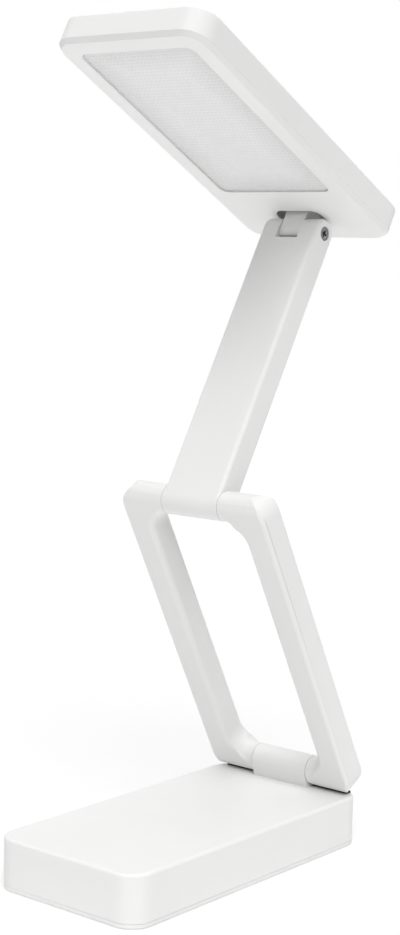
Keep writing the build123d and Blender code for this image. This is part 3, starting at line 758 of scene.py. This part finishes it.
face_points = prism_face(*sheet_outline, sheet_face)
loops = [
    flat_rim(*sheet_outline, sheet_ledge),
    flat_rim(*flange_outline, sheet_ledge),
    flat_rim(*flange_outline, sheet_back),
]
face_numbers = np.arange(face_points[..., 0].size).reshape(face_points.shape[:2])
loop_length = len(loops[0])
loop_starts = face_numbers.size + loop_length * np.arange(len(loops))
rings = [rim(face_numbers)] + [start + np.arange(loop_length) for start in loop_starts]
walls = [
    np.stack([inner, np.roll(inner, -1), np.roll(outer, -1), outer], axis=-1)
    for inner, outer in zip(rings[:-1], rings[1:])
]
sheet_points = np.concatenate([face_points.reshape(-1, 3)] + loops)
from_edge = np.minimum(
    sheet_width / 2 - np.abs(sheet_points[:, 0]),
    sheet_length / 2 - np.abs(sheet_points[:, 1]),
)
sheet_points[:, 1] += sheet_middle
back_face = rings[-1].tolist()
sheet_faces = [*prism_faces(face_numbers).tolist(), *np.concatenate(walls).tolist(), back_face]
prism_sheet = new_piece(
    "prism_diffuser",
    turned(sheet_points, head_hinge, head_lean),
    sheet_faces,
    milky_acrylic_with_shade("milky_acrylic_with_shade"),
)
# Painted shade: each point's share of the bright colour, from its distance to the sheet's edges.
edge_shade_share = prism_sheet.data.attributes.new("edge_shade_share", "FLOAT", "POINT")
edge_shade_share.data.foreach_set("value", np.clip(from_edge / sheet_shade_depth, 0.0, 1.0) ** sheet_shade_curve)
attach(prism_sheet, "head")
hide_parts("diffuser")


# Reflector, light board and chips
# A glossy white reflector frame stands between the diffuser and an aluminium board under white mask.
# The board carries rows of small chips under yellow phosphor.

reflector_white = (0.88, 0.88, 0.88)
reflector_roughness = 0.3
reflector_grain = 0.5 * grain_height
mask_white = (0.82, 0.82, 0.82)
track_white = (0.74, 0.74, 0.74)
white_tracks_per_metre = 180.0
phosphor_yellow = (0.80, 0.62, 0.18)
phosphor_roughness = 0.2
reflector_plastic = moulded_plastic(
    "reflector_plastic", reflector_white, reflector_roughness, reflector_grain
)
dress(reflector_plastic, "reflector")
dress(solder_mask("white_mask", mask_white, track_white, white_tracks_per_metre), "light_board")
dress(moulded_plastic("phosphor_resin", phosphor_yellow, phosphor_roughness, grain_height), "light_chips")


# Studio
# A white table in a dim white room, with two broad soft lights: one straight overhead, and one halfway
# up before the lamp's right corner. The second is left out of reflections, which would clip to white.

floor_half = 2.0
floor_white = 0.985
floor_glow_share = 0.5
room_light = 0.15
top_light = 1.746
top_spread = math.radians(70.0)
top_height = math.radians(89.9)
key_light = 1.599
key_spread = math.radians(40.0)
key_bearing = math.radians(45.0)
key_height = math.radians(45.0)


def seen_directly(nodes, links):
    """One for what the camera sees, also in reflections and through glass, and nought for other light."""
    rays = nodes.new("ShaderNodeLightPath")
    seen = rays.outputs["Is Camera Ray"]
    for other in ("Is Glossy Ray", "Is Transmission Ray"):
        either = nodes.new("ShaderNodeMath")
        either.operation = "MAXIMUM"
        links.new(seen, either.inputs[0])
        links.new(rays.outputs[other], either.inputs[1])
        seen = either.outputs["Value"]
    return seen


def table_paint(name):
    """Dull white paint that is partly self-lit to the camera, so that shadows on it stay pale."""
    material, nodes, links, shader = new_finish(name)
    shader.inputs["Base Color"].default_value = (floor_white, floor_white, floor_white, 1.0)
    shader.inputs["Roughness"].default_value = 1.0
    shader.inputs["Specular IOR Level"].default_value = 0.0
    glow = nodes.new("ShaderNodeEmission")
    blend = nodes.new("ShaderNodeMixShader")
    share = between(nodes, links, seen_directly(nodes, links), 0.0, floor_glow_share)
    links.new(share, blend.inputs["Fac"])
    links.new(shader.outputs["BSDF"], blend.inputs[1])
    links.new(glow.outputs["Emission"], blend.inputs[2])
    links.new(blend.outputs["Shader"], nodes["Material Output"].inputs["Surface"])
    return material


def soft_light(name, bearing, height, strength, spread):
    """A broad soft light at a bearing counted from the front towards the right, and a height."""
    light = bpy.data.objects.new(name, bpy.data.lights.new(name, "SUN"))
    light.data.energy = strength
    light.data.angle = spread
    across = math.cos(height)
    place = (math.sin(bearing) * across, -math.cos(bearing) * across, math.sin(height))
    light.rotation_euler = Vector(place).to_track_quat("Z", "Y").to_euler()
    bpy.context.scene.collection.objects.link(light)
    return light


floor_corners = [(-floor_half, -floor_half, 0.0), (floor_half, -floor_half, 0.0)]
floor_corners += [(floor_half, floor_half, 0.0), (-floor_half, floor_half, 0.0)]
floor = new_piece("floor", floor_corners, [(0, 1, 2, 3)], table_paint("floor_paint"))

# The room is plain white to the camera and in reflections, and dim as a light.
room = bpy.data.worlds.new("room")
bpy.context.scene.world = room
room.use_nodes = True
room_nodes, room_links = room.node_tree.nodes, room.node_tree.links
room_nodes["Background"].inputs["Color"].default_value = (1.0, 1.0, 1.0, 1.0)
room_level = between(room_nodes, room_links, seen_directly(room_nodes, room_links), room_light, 1.0)
room_links.new(room_level, room_nodes["Background"].inputs["Strength"])

soft_light("top_light", 0.0, top_height, top_light, top_spread)
key = soft_light("key_light", key_bearing, key_height, key_light, key_spread)
key.visible_glossy = False


# Camera
# It stands 0.9 metres off, in front and to the right of the lamp and a little above its middle.
# The picture is upright, so the sensor's long side lies along the picture's height.

picture_height = 935.0
focal_pixels = 1840.6
sensor_long_side = 36.0
camera_aim = Vector((-0.03717, 0.05006, 0.17866))
camera_distance = 0.900
camera_bearing = math.radians(39.512)
camera_height = math.radians(6.863)
camera_roll = math.radians(1.195)
nearest_seen = 0.05

camera = bpy.data.objects.new("camera", bpy.data.cameras.new("camera"))
camera_back = Vector(
    (
        math.sin(camera_bearing) * math.cos(camera_height),
        -math.cos(camera_bearing) * math.cos(camera_height),
        math.sin(camera_height),
    )
)
camera.location = camera_aim + camera_distance * camera_back
level_turn = camera_back.to_track_quat("Z", "Y").to_matrix()
camera.rotation_euler = (level_turn @ Matrix.Rotation(camera_roll, 3, "Z")).to_euler()
camera.data.sensor_width = sensor_long_side
camera.data.lens = focal_pixels * sensor_long_side / picture_height
camera.data.clip_start = nearest_seen
bpy.context.scene.collection.objects.link(camera)
bpy.context.scene.camera = camera
bpy.context.scene.view_settings.view_transform = "Standard"
